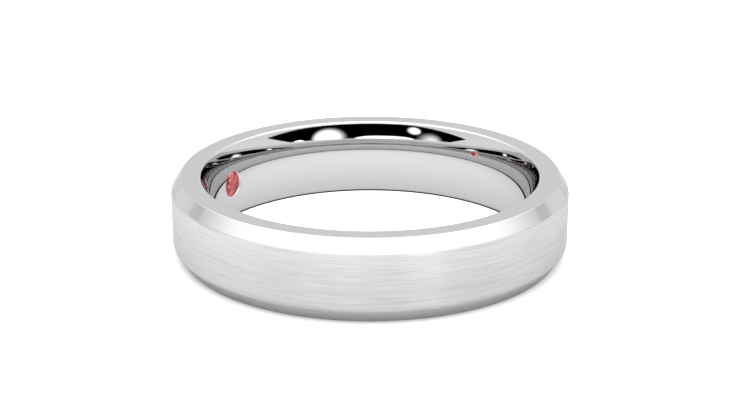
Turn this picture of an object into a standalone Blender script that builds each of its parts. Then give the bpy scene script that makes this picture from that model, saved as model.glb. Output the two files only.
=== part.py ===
"""A bevelled wedding band with one small round stone set flush into its finger surface.

Metres, +Z up. The band lies on its lower rim, so it rests at z = 0 and the finger axis is Z.
The stone looks at the finger axis.
"""

import math

import bmesh
import bpy
from mathutils import Matrix, Vector

# Band
FINGER_DIAMETER = 0.01605  # across the finger surface at mid-width, its narrowest place
WALL = 0.00177  # from the finger surface to the outer face, at mid-width
BAND_WIDTH = 0.0040  # along the finger
COURT_RADIUS = 0.00625  # arc across the finger surface, which lets the band pass a knuckle
CHAMFER_IN = 0.00047  # how far each bevel steps in from the outer face
CHAMFER_DOWN = 0.00069  # how much of the width each bevel takes
INNER_EDGE_ROUND = 0.00022  # where the finger surface meets a rim
RIM_EDGE_ROUND = 0.00005  # where a rim meets its bevel
FACE_EDGE_ROUND = 0.00038  # where a bevel meets the outer face

# Stone, a round brilliant. The shares are of its diameter, except the two facet lengths.
STONE_DIAMETER = 0.0014
TABLE_SHARE = 0.57
CROWN_SHARE = 0.15
GIRDLE_SHARE = 0.04
PAVILION_SHARE = 0.43
STAR_LENGTH = 0.50  # of the way from the table's edge to the girdle
LOWER_HALF_LENGTH = 0.77  # of the way from the girdle to the culet
STONE_TURN = math.radians(62.4)  # round the finger axis, from +Y towards -X

# Seat
TABLE_RECESS = 0.00003  # table below the finger surface, so that it never touches skin
SEAT_CLEARANCE = 0.00002  # between stone and metal
LIP_OVERLAP = 0.00004  # how far the lip closes in over the girdle to hold the stone
BURNISH = 0.00005  # bright slope rubbed round the mouth, at 45 degrees
PILOT_DIAMETER = 0.0006
PILOT_DEPTH = 0.00010  # from the culet down to where the drill's point starts
DRILL_POINT = math.radians(118)
CUTTER_RISE = 0.0004  # how far the cutter stands above the finger surface

# Facets and steps
BAND_STEPS = 96
COURT_STEPS = 8
INNER_EDGE_STEPS = 4
RIM_EDGE_STEPS = 1
FACE_EDGE_STEPS = 3
SEAT_STEPS = 40
GIRDLE_STEPS = 48
MAIN_FACETS = 8
SHARP_ANGLE = math.radians(12)  # the band is shaded smooth across less than this

# Tolerances of the grinding, on a stone of radius 1
PLANE_SNAP = 1e-6
VERTEX_WELD = 1e-4

FINGER_RADIUS = FINGER_DIAMETER / 2
OUTER_RADIUS = FINGER_RADIUS + WALL
STONE_RADIUS = STONE_DIAMETER / 2
GIRDLE_TOP = -CROWN_SHARE * STONE_DIAMETER  # heights from the table
GIRDLE_BOTTOM = GIRDLE_TOP - GIRDLE_SHARE * STONE_DIAMETER
CULET = GIRDLE_BOTTOM - PAVILION_SHARE * STONE_DIAMETER
CROWN_SLOPE = math.atan2(-GIRDLE_TOP, STONE_RADIUS * (1 - TABLE_SHARE))
PAVILION_SLOPE = math.atan2(GIRDLE_BOTTOM - CULET, STONE_RADIUS)


def new_collection(name):
    made = bpy.data.collections.new(name)
    bpy.context.scene.collection.children.link(made)
    return made


def new_object(name, mesh, collection):
    made = bpy.data.objects.new(name, mesh)
    collection.objects.link(made)
    return made


def new_material(name, colour, metallic, roughness):
    made = bpy.data.materials.new(name)
    made.use_nodes = True
    shader = made.node_tree.nodes["Principled BSDF"]
    shader.inputs["Base Color"].default_value = (*colour, 1)
    shader.inputs["Metallic"].default_value = metallic
    shader.inputs["Roughness"].default_value = roughness
    return made


def turned(name, outline, closed, steps, collection):
    """An outline of (radius, height) points turned round Z. It runs down its outer side."""
    edges = [(i, i + 1) for i in range(len(outline) - 1)]
    if closed:
        edges.append((len(outline) - 1, 0))
    mesh = bpy.data.meshes.new(name)
    mesh.from_pydata([(point.x, 0, point.y) for point in outline], edges, [])
    made = new_object(name, mesh, collection)
    screw = made.modifiers.new("turn", "SCREW")
    screw.steps = steps
    screw.render_steps = steps
    screw.use_merge_vertices = True
    screw.merge_threshold = 1e-7
    return made


def rounded_corner(before, corner, after, radius, steps):
    """The arc of that radius that touches both sides of a corner. The outline runs clockwise."""
    back = (before - corner).normalized()
    ahead = (after - corner).normalized()
    half_angle = back.angle(ahead) / 2
    centre = corner + (back + ahead).normalized() * radius / math.sin(half_angle)
    start = corner + back * radius / math.tan(half_angle) - centre
    sweep = math.pi - 2 * half_angle
    turns = [Matrix.Rotation(-sweep * step / steps, 2) for step in range(steps + 1)]
    return [centre + turn @ start for turn in turns]


def court_points():
    """The finger surface from its lower edge to its upper edge, before the edges are rounded."""
    half_width = BAND_WIDTH / 2
    half_angle = math.asin(half_width / COURT_RADIUS)
    points = []
    for step in range(COURT_STEPS + 1):
        angle = half_angle * (2 * step / COURT_STEPS - 1)
        radius = FINGER_RADIUS + COURT_RADIUS * (1 - math.cos(angle))
        points.append(Vector((radius, half_width + COURT_RADIUS * math.sin(angle))))
    return points


def band_outline():
    rim_edge = OUTER_RADIUS - CHAMFER_IN
    court = court_points()
    corners = [
        (Vector((OUTER_RADIUS, BAND_WIDTH - CHAMFER_DOWN)), "face"),
        (Vector((OUTER_RADIUS, CHAMFER_DOWN)), "face"),
        (Vector((rim_edge, 0)), "rim"),
        (court[0], "inner"),
        *((point, "on the arc") for point in court[1:-1]),
        (court[-1], "inner"),
        (Vector((rim_edge, BAND_WIDTH)), "rim"),
    ]
    rounding = {
        "face": (FACE_EDGE_ROUND, FACE_EDGE_STEPS),
        "rim": (RIM_EDGE_ROUND, RIM_EDGE_STEPS),
        "inner": (INNER_EDGE_ROUND, INNER_EDGE_STEPS),
    }
    outline = []
    for i, (corner, place) in enumerate(corners):
        if place == "on the arc":
            outline.append(corner)
            continue
        before = corners[i - 1][0]
        after = corners[(i + 1) % len(corners)][0]
        outline += rounded_corner(before, corner, after, *rounding[place])
    return outline


def seat_outline():
    """The seat's hole, from above the finger surface down to the drill's point."""
    seat_radius = STONE_RADIUS + SEAT_CLEARANCE
    mouth_radius = STONE_RADIUS - LIP_OVERLAP
    pilot_radius = PILOT_DIAMETER / 2
    crown_gap = SEAT_CLEARANCE / math.cos(CROWN_SLOPE)
    pavilion_gap = SEAT_CLEARANCE / math.cos(PAVILION_SLOPE)

    def above_crown(radius):
        return GIRDLE_TOP + crown_gap + (STONE_RADIUS - radius) * math.tan(CROWN_SLOPE)

    def below_pavilion(radius):
        return GIRDLE_BOTTOM - pavilion_gap - (STONE_RADIUS - radius) * math.tan(PAVILION_SLOPE)

    pilot_end = CULET - PILOT_DEPTH
    points = [
        (0, TABLE_RECESS + CUTTER_RISE),
        (mouth_radius + BURNISH + CUTTER_RISE, TABLE_RECESS + CUTTER_RISE),
        (mouth_radius, TABLE_RECESS - BURNISH),
        (mouth_radius, above_crown(mouth_radius)),
        (seat_radius, above_crown(seat_radius)),
        (seat_radius, below_pavilion(seat_radius)),
        (pilot_radius, below_pavilion(pilot_radius)),
        (pilot_radius, pilot_end),
        (0, pilot_end - pilot_radius / math.tan(DRILL_POINT / 2)),
    ]
    return [Vector(point) for point in points]


def grind(stone, count, first_turn, slope, reach, height):
    """Grinds a ring of flat facets. Each plane passes that far from the axis at that height."""
    for i in range(count):
        turn = first_turn + math.tau * i / count
        outward = Vector((math.cos(turn), math.sin(turn), 0))
        normal = outward * math.sin(slope) + Vector((0, 0, math.cos(slope)))
        cut = bmesh.ops.bisect_plane(
            stone,
            geom=stone.verts[:] + stone.edges[:] + stone.faces[:],
            dist=PLANE_SNAP,
            plane_co=outward * reach + Vector((0, 0, height)),
            plane_no=normal,
            clear_outer=True,
        )
        rim = [part for part in cut["geom_cut"] if isinstance(part, bmesh.types.BMEdge)]
        bmesh.ops.edgeloop_fill(stone, edges=rim)


def cut_crown(stone, girdle_top):
    """Kites, stars and upper halves, on a stone of radius 1 with its table at height 0."""
    step = math.pi / MAIN_FACETS
    table_side = TABLE_SHARE * math.cos(step)
    star_tip = table_side + STAR_LENGTH * (1 - table_side)
    tip_height = -math.tan(CROWN_SLOPE) * (star_tip * math.cos(step) - TABLE_SHARE)
    star_slope = math.atan2(-tip_height, star_tip - table_side)
    half_reach = math.cos(step / 2)
    half_slope = math.atan2(tip_height - girdle_top, half_reach * (1 - star_tip))
    grind(stone, MAIN_FACETS, 0, CROWN_SLOPE, 1, girdle_top)
    grind(stone, MAIN_FACETS, step, star_slope, table_side, 0)
    grind(stone, 2 * MAIN_FACETS, step / 2, half_slope, half_reach, girdle_top)


def cut_pavilion(stone, girdle_bottom, culet):
    """Mains and lower halves, down to the culet."""
    step = math.pi / MAIN_FACETS
    inner_end = 1 - LOWER_HALF_LENGTH
    end_height = culet + math.tan(PAVILION_SLOPE) * inner_end * math.cos(step)
    half_reach = math.cos(step / 2)
    half_slope = math.atan2(girdle_bottom - end_height, half_reach * (1 - inner_end))
    grind(stone, MAIN_FACETS, 0, math.pi - PAVILION_SLOPE, 1, girdle_bottom)
    grind(stone, 2 * MAIN_FACETS, step / 2, math.pi - half_slope, half_reach, girdle_bottom)


def brilliant(name, collection):
    """A round brilliant with its table at its origin, facing +Z."""
    culet = CULET / STONE_RADIUS
    stone = bmesh.new()
    bmesh.ops.create_cone(
        stone, cap_ends=True, segments=GIRDLE_STEPS, radius1=1, radius2=1, depth=-culet
    )
    bmesh.ops.translate(stone, verts=stone.verts, vec=(0, 0, culet / 2))
    cut_crown(stone, GIRDLE_TOP / STONE_RADIUS)
    cut_pavilion(stone, GIRDLE_BOTTOM / STONE_RADIUS, culet)
    bmesh.ops.remove_doubles(stone, verts=stone.verts, dist=VERTEX_WELD)
    bmesh.ops.scale(stone, verts=stone.verts, vec=(STONE_RADIUS,) * 3)
    mesh = bpy.data.meshes.new(name)
    stone.to_mesh(mesh)
    stone.free()
    return new_object(name, mesh, collection)


def place_at_seat(piece):
    """Turns a piece's +Z to the finger axis, with its origin at the stone's table."""
    radius = FINGER_RADIUS + TABLE_RECESS
    piece.location = (
        -radius * math.sin(STONE_TURN),
        radius * math.cos(STONE_TURN),
        BAND_WIDTH / 2,
    )
    piece.rotation_euler = (math.pi / 2, 0, STONE_TURN)


def shaded_smooth(piece):
    """Swaps the piece's modifiers for the mesh they make, smooth except along its edges."""
    graph = bpy.context.evaluated_depsgraph_get()
    mesh = bpy.data.meshes.new_from_object(piece.evaluated_get(graph))
    mesh.name = piece.name
    mesh.shade_smooth()
    mesh.set_sharp_from_angle(angle=SHARP_ANGLE)
    piece.modifiers.clear()
    piece.data = mesh


def make_band(parts, cutters):
    seat = turned("stone_seat_cutter", seat_outline(), False, SEAT_STEPS, cutters)
    place_at_seat(seat)
    seat.hide_render = True
    seat.display_type = "WIRE"
    band = turned("band", band_outline(), True, BAND_STEPS, parts)
    band.data.materials.append(new_material("white_precious_metal", (0.80, 0.79, 0.78), 1, 0.2))
    cut = band.modifiers.new("stone_seat", "BOOLEAN")
    cut.operation = "DIFFERENCE"
    cut.solver = "EXACT"
    cut.object = seat
    shaded_smooth(band)


def make_stone(parts):
    stone = brilliant("inside_stone", parts)
    place_at_seat(stone)
    stone.data.materials.append(new_material("red_stone", (0.62, 0.03, 0.06), 0, 0.03))


for old in list(bpy.data.objects):
    bpy.data.objects.remove(old, do_unlink=True)
wedding_band = new_collection("wedding_band")
cutter_shapes = new_collection("cutters")
make_band(wedding_band, cutter_shapes)
make_stone(wedding_band)
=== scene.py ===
"""A wedding band with bevelled polished edges, a brushed outer face and a red stone inside."""

import math

import bmesh
import bpy
from mathutils import Matrix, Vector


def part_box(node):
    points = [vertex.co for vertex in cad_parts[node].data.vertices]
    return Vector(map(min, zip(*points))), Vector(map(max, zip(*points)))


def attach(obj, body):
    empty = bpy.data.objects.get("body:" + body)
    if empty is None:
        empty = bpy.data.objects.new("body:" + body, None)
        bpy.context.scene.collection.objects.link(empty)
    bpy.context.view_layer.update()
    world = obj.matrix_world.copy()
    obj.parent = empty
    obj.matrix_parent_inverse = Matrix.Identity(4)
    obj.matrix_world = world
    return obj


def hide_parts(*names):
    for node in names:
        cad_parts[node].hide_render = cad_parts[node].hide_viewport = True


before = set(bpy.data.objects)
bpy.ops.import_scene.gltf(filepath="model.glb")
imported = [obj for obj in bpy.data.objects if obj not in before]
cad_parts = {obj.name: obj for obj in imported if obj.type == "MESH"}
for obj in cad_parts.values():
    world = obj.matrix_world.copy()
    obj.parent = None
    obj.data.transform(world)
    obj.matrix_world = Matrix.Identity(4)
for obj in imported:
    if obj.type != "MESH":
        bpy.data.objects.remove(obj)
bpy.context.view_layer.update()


# ---- The band -------------------------------------------------------------------------------
# One ring of white precious metal, turned from a solid blank: a flat outer face, two bevels, two
# flat rims, and a finger surface that is slightly crowned so that the band slides on easily.

band_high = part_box("band")[1]
outer_radius = band_high.x
band_width = band_high.z
finger_radius = 0.008025
court_radius = 0.00625  # arc across the finger surface
chamfer_in = 0.00047
chamfer_down = 0.00069
inner_edge_round = 0.00022  # where the finger surface meets a rim
rim_edge_round = 0.00005  # where a rim meets its bevel
face_edge_round = 0.00038  # where a bevel meets the outer face
flat_margin = 0.00001  # keeps the flats true up to their rounded edges
shortest_flat = 0.0002  # no step of an arc is this long
same_point = 1e-7
court_steps = 32
edge_steps = 8
rim_edge_steps = 4
turns_round = 360


def section_corner(section, radius, height):
    return section.verts.new((radius, 0, height))


def round_corner(section, corner, radius, segments):
    """Rounds one corner of the flat section with an arc of that radius."""
    sides = [edge.other_vert(corner).co - corner.co for edge in corner.link_edges]
    touch = radius / math.tan(sides[0].angle(sides[1]) / 2)
    bmesh.ops.bevel(
        section,
        geom=[corner],
        offset=touch,
        offset_type="OFFSET",
        segments=segments,
        profile=0.5,
        affect="VERTICES",
        material=-1,
    )


def turn_band():
    """Draws the wall's section, rounds its corners and turns it about the finger axis."""
    section = bmesh.new()
    mid = band_width / 2
    half_angle = math.asin(mid / court_radius)
    edge_radius = finger_radius + court_radius * (1 - math.cos(half_angle))
    bottom_inner = section_corner(section, edge_radius, 0)
    bmesh.ops.spin(
        section,
        geom=[bottom_inner],
        cent=(finger_radius + court_radius, 0, mid),
        axis=(0, 1, 0),
        angle=2 * half_angle,
        steps=court_steps,
    )
    section.verts.ensure_lookup_table()
    top_inner = max(section.verts, key=lambda vert: vert.co.z)
    rim_radius = outer_radius - chamfer_in
    corners = [
        top_inner,
        section_corner(section, rim_radius, band_width),
        section_corner(section, outer_radius, band_width - chamfer_down),
        section_corner(section, outer_radius, chamfer_down),
        section_corner(section, rim_radius, 0),
        bottom_inner,
    ]
    for first, second in zip(corners, corners[1:]):
        section.edges.new((first, second))
    bmesh.ops.contextual_create(section, geom=section.edges[:])
    upper_rounds = [
        (inner_edge_round, edge_steps),
        (rim_edge_round, rim_edge_steps),
        (face_edge_round, edge_steps),
    ]
    rounds = upper_rounds + upper_rounds[::-1]
    for corner, (radius, segments) in zip(corners, rounds):
        round_corner(section, corner, radius, segments)
    bmesh.ops.delete(section, geom=section.faces[:], context="FACES_ONLY")
    for flat in [edge for edge in section.edges if edge.calc_length() > shortest_flat]:
        for end in flat.verts[:]:
            longest = max(end.link_edges, key=lambda edge: edge.calc_length())
            bmesh.utils.edge_split(longest, end, flat_margin / longest.calc_length())
    bmesh.ops.spin(
        section,
        geom=section.verts[:] + section.edges[:],
        cent=(0, 0, 0),
        axis=(0, 0, 1),
        angle=math.tau,
        steps=turns_round,
        use_merge=True,
    )
    bmesh.ops.remove_doubles(section, verts=section.verts, dist=same_point)
    bmesh.ops.recalc_face_normals(section, faces=section.faces)
    mesh = bpy.data.meshes.new("band_turned")
    section.to_mesh(mesh)
    section.free()
    return mesh


band = bpy.data.objects.new("band_finished", turn_band())
bpy.context.scene.collection.objects.link(band)


# ---- The stone's seat -----------------------------------------------------------------------
# A seat cut into the finger surface for the stone: a burnished slope round the mouth, a lip over
# the girdle, a bearing under it and a pilot hole below, all cut on one axis.

stone_radius = 0.0007
stone_turn = math.radians(62.4)  # round the finger axis, from +Y towards -X
table_recess = 0.00003
crown_height = 0.15 * 2 * stone_radius
girdle_height = 0.04 * 2 * stone_radius
pavilion_depth = 0.43 * 2 * stone_radius
table_radius = 0.57 * stone_radius
seat_clearance = 0.00002
lip_overlap = 0.00004
burnish = 0.00005
pilot_radius = 0.0003
pilot_past_stone = 0.0001
drill_tip = 0.00018
cutter_rise = 0.0004  # how far the cutter stands above the finger surface
seat_steps = 100
same_drill_point = 1e-8
tiny_gap = 3e-6  # corners of the cut that lie nearer than this become one
tiny_edge = 2e-6

seat_place = (
    Matrix.Rotation(stone_turn, 4, "Z")
    @ Matrix.Translation((0, finger_radius + table_recess, band_width / 2))
    @ Matrix.Rotation(math.pi / 2, 4, "X")
)


def seat_outline():
    """Half the seat's section as radius and height, the height counted from the stone's table."""
    crown_slope = crown_height / (stone_radius - table_radius)
    pavilion_slope = pavilion_depth / stone_radius
    mouth = stone_radius - lip_overlap
    wall = stone_radius + seat_clearance
    crown_gap = seat_clearance * math.hypot(1, crown_slope)
    pavilion_gap = seat_clearance * math.hypot(1, pavilion_slope)
    lip_under = crown_gap - crown_height + lip_overlap * crown_slope
    wall_top = crown_gap - crown_height - seat_clearance * crown_slope
    girdle_bottom = -crown_height - girdle_height
    wall_bottom = girdle_bottom - pavilion_gap + seat_clearance * pavilion_slope
    pilot_top = girdle_bottom - pavilion_gap - (stone_radius - pilot_radius) * pavilion_slope
    pilot_bottom = girdle_bottom - pavilion_depth - pilot_past_stone
    return [
        (0, table_recess + cutter_rise),
        (mouth + burnish + cutter_rise, table_recess + cutter_rise),
        (mouth, table_recess - burnish),
        (mouth, lip_under),
        (wall, wall_top),
        (wall, wall_bottom),
        (pilot_radius, pilot_top),
        (pilot_radius, pilot_bottom),
        (0, pilot_bottom - drill_tip),
    ]


def cut_seat(piece):
    """Turns a cutter to the seat's outline, cuts it into the piece and cleans the cut's edges."""
    drill = bmesh.new()
    points = [drill.verts.new((radius, 0, height)) for radius, height in seat_outline()]
    for first, second in zip(points, points[1:]):
        drill.edges.new((first, second))
    bmesh.ops.spin(
        drill,
        geom=drill.verts[:] + drill.edges[:],
        cent=(0, 0, 0),
        axis=(0, 0, 1),
        angle=math.tau,
        steps=seat_steps,
        use_merge=True,
    )
    bmesh.ops.remove_doubles(drill, verts=drill.verts, dist=same_drill_point)
    bmesh.ops.recalc_face_normals(drill, faces=drill.faces)
    bmesh.ops.transform(drill, matrix=seat_place, verts=drill.verts)
    mesh = bpy.data.meshes.new("seat_drill")
    drill.to_mesh(mesh)
    drill.free()
    cutter = bpy.data.objects.new("seat_drill", mesh)
    bpy.context.scene.collection.objects.link(cutter)
    cut = piece.modifiers.new("seat", "BOOLEAN")
    cut.operation = "DIFFERENCE"
    cut.object = cutter
    graph = bpy.context.evaluated_depsgraph_get()
    finished = bpy.data.meshes.new_from_object(piece.evaluated_get(graph))
    piece.modifiers.clear()
    piece.data = finished
    bpy.data.objects.remove(cutter)
    cleaned = bmesh.new()
    cleaned.from_mesh(finished)
    bmesh.ops.remove_doubles(cleaned, verts=cleaned.verts, dist=tiny_gap)
    bmesh.ops.dissolve_degenerate(cleaned, edges=cleaned.edges, dist=tiny_edge)
    bmesh.ops.recalc_face_normals(cleaned, faces=cleaned.faces)
    cleaned.to_mesh(finished)
    cleaned.free()


cut_seat(band)


# ---- The band's finish ----------------------------------------------------------------------
# The outer face is brushed round the band with a fine abrasive wheel. Bevels, rims and finger
# surface are buffed to a mirror, and the seat is left as the burnisher rubbed it down.

noise_low = 0.3  # nearly all of a noise pattern's values lie between these two
noise_high = 0.7
drift_scale = 0.22  # of the lines' own
painted_light_from = 0.45 * band_width  # painted light: the brushed face is painted lighter between these two heights
painted_light_to = 0.8 * band_width
side_light_reach = 0.01  # and painted a little lighter towards -X and darker towards +X, over this much to either side
side_light_share = 0.4
polished_slot = 0
brushed_slot = 1
burnished_slot = 2
seat_reach = 1.3 * stone_radius  # from the middle of the stone's table, and past the seat's mouth
facing_finger = 0.9  # the finger surface points at the axis at least this squarely
brushed_share = 0.75  # of the way round the edge from the outer face to its bevel
sharp_edge = math.radians(25)


def lines_group():
    """Fine lines drawn round the band by the wheel, and the broader drift in how hard it pressed."""
    group = bpy.data.node_groups.new("wheel_lines", "ShaderNodeTree")
    face = group.interface
    face.new_socket("Length", in_out="INPUT", socket_type="NodeSocketFloat")
    face.new_socket("Spacing", in_out="INPUT", socket_type="NodeSocketFloat")
    face.new_socket("Lines", in_out="OUTPUT", socket_type="NodeSocketFloat")
    face.new_socket("Drift", in_out="OUTPUT", socket_type="NodeSocketFloat")
    nodes, links = group.nodes, group.links
    given = nodes.new("NodeGroupInput")
    result = nodes.new("NodeGroupOutput")
    place = nodes.new("ShaderNodeTexCoord")
    sizes = nodes.new("ShaderNodeCombineXYZ")
    links.new(given.outputs["Length"], sizes.inputs["X"])
    links.new(given.outputs["Length"], sizes.inputs["Y"])
    links.new(given.outputs["Spacing"], sizes.inputs["Z"])
    shrink = nodes.new("ShaderNodeVectorMath")
    shrink.operation = "DIVIDE"
    links.new(place.outputs["Object"], shrink.inputs[0])
    links.new(sizes.outputs["Vector"], shrink.inputs[1])
    lines = nodes.new("ShaderNodeTexNoise")
    lines.inputs["Scale"].default_value = 1
    lines.inputs["Detail"].default_value = 3
    lines.inputs["Roughness"].default_value = 0.6
    links.new(shrink.outputs["Vector"], lines.inputs["Vector"])
    links.new(lines.outputs["Fac"], result.inputs["Lines"])
    drift = nodes.new("ShaderNodeTexNoise")
    drift.inputs["Scale"].default_value = drift_scale
    drift.inputs["Detail"].default_value = 1
    links.new(shrink.outputs["Vector"], drift.inputs["Vector"])
    links.new(drift.outputs["Fac"], result.inputs["Drift"])
    return group


wheel_lines = lines_group()


def feed(tree, socket, value):
    """Links the socket to another node's socket, or sets it to a plain value."""
    if isinstance(value, bpy.types.NodeSocket):
        tree.links.new(value, socket)
    else:
        socket.default_value = value


def calculated(tree, operation, *values):
    """One step of arithmetic on numbers and other nodes' sockets."""
    node = tree.nodes.new("ShaderNodeMath")
    node.operation = operation
    for socket, value in zip(node.inputs, values):
        feed(tree, socket, value)
    return node.outputs["Value"]


def mixed(tree, factor, first, second, kind):
    """First where the factor is 0, second where it is 1. The kind is FLOAT or RGBA."""
    node = tree.nodes.new("ShaderNodeMix")
    node.data_type = kind
    feed(tree, node.inputs["Factor"], factor)
    feed(tree, node.inputs["A"], first)
    feed(tree, node.inputs["B"], second)
    return node.outputs["Result"]


def spread(tree, value, start, end, low=0, high=1, smooth=True):
    """Goes from low to high while the value goes from start to end, and stays level beyond."""
    node = tree.nodes.new("ShaderNodeMapRange")
    node.interpolation_type = "SMOOTHSTEP" if smooth else "LINEAR"
    node.inputs["From Min"].default_value = start
    node.inputs["From Max"].default_value = end
    node.inputs["To Min"].default_value = low
    node.inputs["To Max"].default_value = high
    tree.links.new(value, node.inputs["Value"])
    return node.outputs["Result"]


def ranged(tree, noise, low, high):
    """Spreads a noise pattern's values from low to high."""
    return spread(tree, noise, noise_low, noise_high, low, high, smooth=False)


def split_axes(tree, coordinates):
    """X, Y and Z of the texture coordinates of that name."""
    place = tree.nodes.new("ShaderNodeTexCoord")
    parts = tree.nodes.new("ShaderNodeSeparateXYZ")
    tree.links.new(place.outputs[coordinates], parts.inputs["Vector"])
    return parts.outputs


def painted_light_gradient(tree, painted_lift):
    """Painted light: how much lighter the metal is painted towards the upper bevel, and lighter on the
    -X side and darker on the +X side.
    """
    x, _, z = split_axes(tree, "Object")
    upwards = spread(tree, z, painted_light_from, painted_light_to, 0, painted_lift)
    lean = side_light_share * painted_lift
    sideways = spread(tree, x, -side_light_reach, side_light_reach, lean, -lean, smooth=False)
    return calculated(tree, "ADD", upwards, sideways)


def metal(name, tint, tone, roughness, length, spacing, depth, returned, grazing, painted_lift=0):
    """White metal with wheel lines. Tone and roughness are ranges, and depth is the lines' own.

    Returned is how much light it gives back to the sheet that it lies on. Grazing holds back the
    glare along the surface. The last argument is painted light: how much lighter the metal is
    painted towards the upper bevel, and a little lighter on the -X side.
    """
    material = bpy.data.materials.new(name)
    material.use_nodes = True
    tree = material.node_tree
    shader = tree.nodes["Principled BSDF"]
    shader.inputs["Metallic"].default_value = 1
    shader.inputs["Specular Tint"].default_value = (grazing, grazing, grazing, 1)
    lines = tree.nodes.new("ShaderNodeGroup")
    lines.node_tree = wheel_lines
    lines.inputs["Length"].default_value = length
    lines.inputs["Spacing"].default_value = spacing
    lines_and_painted_light = ranged(tree, lines.outputs["Lines"], 0, 1)
    # Painted light: the metal is painted lighter towards the upper bevel and on the -X side.
    if painted_lift:
        lines_and_painted_light = calculated(tree, "ADD", lines_and_painted_light, painted_light_gradient(tree, painted_lift))
    darker_tone, lighter_tone = [(*(level * channel for channel in tint), 1) for level in tone]
    shade = mixed(tree, lines_and_painted_light, darker_tone, lighter_tone, "RGBA")
    path = tree.nodes.new("ShaderNodeLightPath")
    to_sheet = (returned, returned, returned, 1)
    base = mixed(tree, path.outputs["Is Diffuse Ray"], shade, to_sheet, "RGBA")
    tree.links.new(base, shader.inputs["Base Color"])
    rough = ranged(tree, lines.outputs["Drift"], *roughness)
    tree.links.new(rough, shader.inputs["Roughness"])
    bump = tree.nodes.new("ShaderNodeBump")
    bump.inputs["Strength"].default_value = 1
    bump.inputs["Distance"].default_value = depth
    tree.links.new(lines.outputs["Lines"], bump.inputs["Height"])
    tree.links.new(bump.outputs["Normal"], shader.inputs["Normal"])
    return material


def brush_round(material):
    """Stretches the metal's highlights across lines that run round the finger axis."""
    tree = material.node_tree
    shader = tree.nodes["Principled BSDF"]
    shader.inputs["Anisotropic"].default_value = 0.75
    shader.inputs["Anisotropic Rotation"].default_value = 0.25
    tangent = tree.nodes.new("ShaderNodeTangent")
    tangent.direction_type = "RADIAL"
    tangent.axis = "Z"
    tree.links.new(tangent.outputs["Tangent"], shader.inputs["Tangent"])


polished = metal(
    "polished_metal",
    tint=(1, 0.997, 0.993),
    tone=(0.595, 0.605),
    roughness=(0.02, 0.05),
    length=0.002,
    spacing=0.00012,
    depth=1e-9,
    returned=0.4,
    grazing=0.86,
)
# The brushed face carries painted light, lighter towards the upper bevel and on the -X side.
brushed = metal(
    "brushed_metal",
    tint=(1, 0.985, 0.993),
    tone=(0.52, 0.68),
    roughness=(0.36, 0.46),
    length=0.0025,
    spacing=0.00005,
    depth=3e-6,
    returned=0.3,
    grazing=0.84,
    painted_lift=0.35,
)
brush_round(brushed)
burnished = metal(
    "burnished_metal",
    tint=(1, 0.997, 0.993),
    tone=(0.60, 0.66),
    roughness=(0.28, 0.36),
    length=0.0002,
    spacing=0.0002,
    depth=1e-7,
    returned=0.4,
    grazing=0.86,
)


def finish_band(piece):
    """Brushes the outer face up to its rounded edges, burnishes the seat, and buffs all the rest."""
    mesh = piece.data
    mesh.materials.clear()
    for material in (polished, brushed, burnished):
        mesh.materials.append(material)
    bevel_rise = chamfer_in / math.hypot(chamfer_in, chamfer_down)
    seat = seat_place.translation
    for polygon in mesh.polygons:
        outward = polygon.normal.xy.dot(polygon.center.xy.normalized())
        if (polygon.center - seat).length < seat_reach and outward > -facing_finger:
            polygon.material_index = burnished_slot
        elif outward > 0 and abs(polygon.normal.z) < brushed_share * bevel_rise:
            polygon.material_index = brushed_slot
        else:
            polygon.material_index = polished_slot
    mesh.shade_smooth()
    mesh.set_sharp_from_angle(angle=sharp_edge)


finish_band(band)
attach(band, "root")
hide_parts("band")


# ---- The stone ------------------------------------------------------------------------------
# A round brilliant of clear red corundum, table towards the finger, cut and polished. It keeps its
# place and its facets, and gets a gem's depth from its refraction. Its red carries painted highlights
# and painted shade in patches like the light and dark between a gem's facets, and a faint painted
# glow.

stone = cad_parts["inside_stone"]
# Painted shade and painted highlight for the patches, and a faint painted glow from within.
painted_shade_red = (0.1, 0.005, 0.01, 1)
painted_highlight_pink = (1.0, 0.62, 0.64, 1)
painted_inner_glow = (0.13, 0.025, 0.027, 1)
red_gloss = (1, 0.3, 0.34, 1)
corundum_ior = 1.77
patches_per_metre = 2300


def gem():
    """Clear red, with painted highlights and painted shade in patches like the light and dark between
    a gem's facets.
    """
    material = bpy.data.materials.new("red_gem")
    material.use_nodes = True
    tree = material.node_tree
    shader = tree.nodes["Principled BSDF"]
    shader.inputs["Roughness"].default_value = 0.01
    shader.inputs["IOR"].default_value = corundum_ior
    shader.inputs["Transmission Weight"].default_value = 1
    shader.inputs["Specular Tint"].default_value = red_gloss
    # A faint painted glow that lifts the stone's darks.
    shader.inputs["Emission Color"].default_value = painted_inner_glow
    shader.inputs["Emission Strength"].default_value = 1
    place = tree.nodes.new("ShaderNodeTexCoord")
    patches = tree.nodes.new("ShaderNodeTexVoronoi")
    patches.inputs["Scale"].default_value = patches_per_metre
    tree.links.new(place.outputs["Object"], patches.inputs["Vector"])
    channels = tree.nodes.new("ShaderNodeSeparateColor")
    tree.links.new(patches.outputs["Color"], channels.inputs["Color"])
    brightness = ranged(tree, channels.outputs["Red"], 0, 1)
    colour = mixed(tree, brightness, painted_shade_red, painted_highlight_pink, "RGBA")
    tree.links.new(colour, shader.inputs["Base Color"])
    return material


stone.data.materials.clear()
stone.data.materials.append(gem())


# ---- The table top --------------------------------------------------------------------------
# A plain white sheet that the band lies on. Looked at, it is pure white, with a painted glow in the
# hole that hides the band's shade there. It lights the metal more softly, with painted light and
# shade: painted light in front of the band, painted shade behind it, a painted shadow in a dark
# ring at and under the band's inner foot, and a faint painted glow in the hole.

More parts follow.
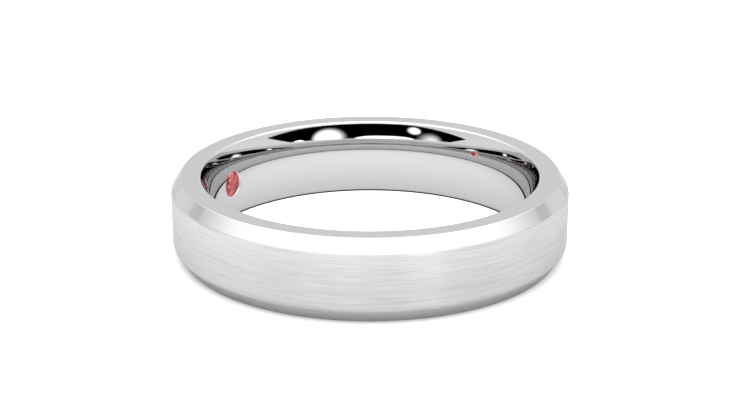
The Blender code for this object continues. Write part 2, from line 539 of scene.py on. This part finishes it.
sheet_half = 0.6
hole_edge = (0.00818, 0.00827)  # radii between which the hole's paper and painted glow fade out, and the painted shadow ring begins
seen_glow_edge = (0.0085, 0.0086)  # radii between which the painted glow that hides the hole's shade when looked at fades out, out of sight
past_painted_shadow = (0.0086, 0.0088)  # radii between which the painted shadow ring ends and the sheet outside starts
depth_of_light = 0.022  # how far behind the finger axis the painted light in front turns to painted shade
# The paper's brightness in the metal: painted light in front, painted shade behind, and in the hole,
# paper under a painted glow.
front_painted_light = 0.70
back_painted_shade = 0.53
hole_paper = 0.47
hole_glow = 0.46


def paper_with_painted_light():
    material = bpy.data.materials.new("paper_with_painted_light")
    material.use_nodes = True
    tree = material.node_tree
    shader = tree.nodes["Principled BSDF"]
    shader.inputs["Roughness"].default_value = 0.9
    shader.inputs["Specular IOR Level"].default_value = 0
    path = tree.nodes.new("ShaderNodeLightPath")
    looked_at = path.outputs["Is Camera Ray"]
    x, y, _ = split_axes(tree, "Object")
    squares = [calculated(tree, "MULTIPLY", axis, axis) for axis in (x, y)]
    radius = calculated(tree, "SQRT", calculated(tree, "ADD", *squares))
    # In the metal the sheet shows painted light and shade, and a painted shadow ring at and under the
    # band's inner foot.
    in_hole = spread(tree, radius, *hole_edge, 1, 0)
    outside = spread(tree, y, 0, depth_of_light, front_painted_light, back_painted_shade)
    outside = calculated(tree, "MULTIPLY", outside, spread(tree, radius, *past_painted_shadow))
    paper_and_painted_light = calculated(tree, "MULTIPLY_ADD", in_hole, hole_paper, outside)
    tree.links.new(mixed(tree, looked_at, paper_and_painted_light, 1, "FLOAT"), shader.inputs["Base Color"])
    reflected_glow = calculated(tree, "MULTIPLY", in_hole, hole_glow)
    # Looked at, the hole shows a painted glow that hides the band's shade there.
    seen_glow = spread(tree, radius, *seen_glow_edge, 1, 0)
    tree.links.new(mixed(tree, looked_at, reflected_glow, seen_glow, "FLOAT"), shader.inputs["Emission Color"])
    shader.inputs["Emission Strength"].default_value = 1
    return material


def white_sheet():
    surface = bmesh.new()
    bmesh.ops.create_grid(surface, x_segments=1, y_segments=1, size=sheet_half)
    mesh = bpy.data.meshes.new("white_sheet")
    surface.to_mesh(mesh)
    surface.free()
    mesh.materials.append(paper_with_painted_light())
    sheet = bpy.data.objects.new("white_sheet", mesh)
    bpy.context.scene.collection.objects.link(sheet)
    return sheet


white_sheet()


# ---- The studio -----------------------------------------------------------------------------
# A white light tent with a dull seam low down and a bright ceiling. In front hangs a black card
# with lamps in and beside it, which gives the polished metal its contrast.

tent_strength = 1.25
tent_foot = -10  # degrees above the horizon
tent_crown = 90
tent_shades = [  # degrees above the horizon, and brightness there
    (-10, 0.88),
    (5, 0.87),
    (10, 0.84),
    (15, 0.80),
    (17.5, 0.82),
    (20, 0.92),
    (24, 1.09),
    (29, 1.28),
    (36, 1.42),
    (60, 2.0),
    (90, 2.2),
]
brightest = max(brightness for _, brightness in tent_shades)
seam_height = 18  # degrees, above which the tent's back sags
sag_at_seam = 3
sag_per_degree = 0.8
panel_back = 0.46  # the two dull panels face this share of straight back
panel_half_width = 0.13
panel_height = 14.5  # degrees
panel_half_height = 4.5
panel_fade = (0.2, 1.4)  # in squares of the half sizes
panel_shade = 0.82

# The wall in front is measured in shares of its distance: across to the right, and up.
wall_edge = 0.01  # it ends just short of straight sideways
nearest = 0.001  # keeps the shares finite
card_top = (0.345, 0.36)
card_shoulder = 0.5  # past this, on either side, the top edge slopes
right_slope = -0.08
left_slope = -0.01
card_foot = -0.24
foot_slope = 0.203
foot_softness = 0.012
lamps = [  # centre, half sizes, squareness, where it starts to fade and is gone, brightness
    ((0.61, 0.08), (0.25, 0.175), 2, 0.45, 1.35, 2.6),
    ((-0.625, 0.24), (0.11, 0.072), 2, 0.5, 1.3, 2.0),
    ((-1.0, 0.06), (0.24, 0.13), 2, 0.0, 1.6, 1.3),
    ((-0.22, 0.0), (0.44, 0.1), 3, 0.95, 1.05, 2.0),
    ((1.31, 0.07), (0.2, 0.045), 2, 0.8, 1.15, 2.2),
]


def offset(tree, value, centre, half_size):
    """How far the value lies from the centre, in half sizes."""
    return calculated(tree, "DIVIDE", calculated(tree, "SUBTRACT", value, centre), half_size)


def oval(tree, x, y, power):
    """The distance from the centre, which is 1 on an oval that gets squarer with the power."""
    x = calculated(tree, "POWER", calculated(tree, "ABSOLUTE", x), power)
    y = calculated(tree, "POWER", calculated(tree, "ABSOLUTE", y), power)
    return calculated(tree, "POWER", calculated(tree, "ADD", x, y), 1 / power)


def tent(tree, back, up):
    """The tent's brightness by height above the horizon, with a dull panel on either side."""
    height = calculated(tree, "MULTIPLY", calculated(tree, "ARCSINE", up), 180 / math.pi)
    behind = calculated(tree, "MAXIMUM", back, 0)
    over_seam = calculated(tree, "SUBTRACT", height, seam_height)
    over_seam = calculated(tree, "MAXIMUM", over_seam, 0)
    sag = calculated(tree, "MULTIPLY_ADD", over_seam, sag_per_degree, sag_at_seam)
    sag = calculated(tree, "MULTIPLY", behind, sag)
    level = calculated(tree, "SUBTRACT", height, sag)
    ramp = tree.nodes.new("ShaderNodeValToRGB")
    steps = ramp.color_ramp.elements
    while len(steps) < len(tent_shades):
        steps.new(0.5)
    for step, (degrees, brightness) in zip(steps, tent_shades):
        step.position = (degrees - tent_foot) / (tent_crown - tent_foot)
        step.color = (*[brightness / brightest] * 3, 1)
    share = spread(tree, level, tent_foot, tent_crown, smooth=False)
    tree.links.new(share, ramp.inputs["Fac"])
    aside = offset(tree, behind, panel_back, panel_half_width)
    above = offset(tree, height, panel_height, panel_half_height)
    aside = calculated(tree, "MULTIPLY", aside, aside)
    away = calculated(tree, "MULTIPLY_ADD", above, above, aside)
    panel = spread(tree, away, *panel_fade, panel_shade, 1)
    bright = calculated(tree, "MULTIPLY", ramp.outputs["Color"], brightest)
    return calculated(tree, "MULTIPLY", bright, panel)


def black_card(tree, across, upward):
    """1 where the card hangs. Its top slopes at the sides, and its foot rises away from the middle."""
    past_right = calculated(tree, "SUBTRACT", across, card_shoulder)
    past_right = calculated(tree, "MAXIMUM", past_right, 0)
    past_left = calculated(tree, "SUBTRACT", -card_shoulder, across)
    past_left = calculated(tree, "MAXIMUM", past_left, 0)
    top = calculated(tree, "MULTIPLY_ADD", past_right, right_slope, upward)
    top = calculated(tree, "MULTIPLY_ADD", past_left, left_slope, top)
    beside = calculated(tree, "ABSOLUTE", across)
    foot = calculated(tree, "MULTIPLY_ADD", beside, foot_slope, card_foot)
    foot = calculated(tree, "SUBTRACT", upward, foot)
    below_top = spread(tree, top, *card_top, 1, 0)
    over_foot = spread(tree, foot, -foot_softness, foot_softness)
    return calculated(tree, "MULTIPLY", below_top, over_foot)


def studio():
    world = bpy.data.worlds.new("light_tent")
    bpy.context.scene.world = world
    world.use_nodes = True
    tree = world.node_tree
    right, back, up = split_axes(tree, "Generated")
    front = calculated(tree, "MULTIPLY", back, -1)
    in_front = calculated(tree, "GREATER_THAN", front, wall_edge)
    ahead = calculated(tree, "MAXIMUM", front, nearest)
    across = calculated(tree, "DIVIDE", right, ahead)
    upward = calculated(tree, "DIVIDE", up, ahead)
    card = calculated(tree, "MULTIPLY", black_card(tree, across, upward), in_front)
    shown = calculated(tree, "MULTIPLY", tent(tree, back, up), calculated(tree, "SUBTRACT", 1, card))
    for centre, half_sizes, power, core, edge, brightness in lamps:
        x = offset(tree, across, centre[0], half_sizes[0])
        y = offset(tree, upward, centre[1], half_sizes[1])
        lit = spread(tree, oval(tree, x, y, power), core, edge, brightness, 0)
        lit = calculated(tree, "MULTIPLY", lit, in_front)
        shown = calculated(tree, "MAXIMUM", shown, lit)
    background = tree.nodes["Background"]
    tree.links.new(shown, background.inputs["Color"])
    background.inputs["Strength"].default_value = tent_strength


studio()


# ---- The camera -----------------------------------------------------------------------------
# Stands nearly eight radii in front of the band and looks down on it a little. Its distances
# follow the band's outer radius.

camera_distance = 7.7645 * outer_radius
camera_height = 3.0176 * outer_radius
camera_dip = math.radians(19.898)

view = bpy.data.cameras.new("camera")
view.sensor_width = 36
view.lens = 79.03
view.clip_start = 0.001
camera = bpy.data.objects.new("camera", view)
camera.location = (0, -camera_distance, camera_height)
camera.rotation_euler = (math.pi / 2 - camera_dip, 0, 0)
bpy.context.scene.collection.objects.link(camera)
bpy.context.scene.camera = camera
bpy.context.scene.view_settings.view_transform = "Standard"
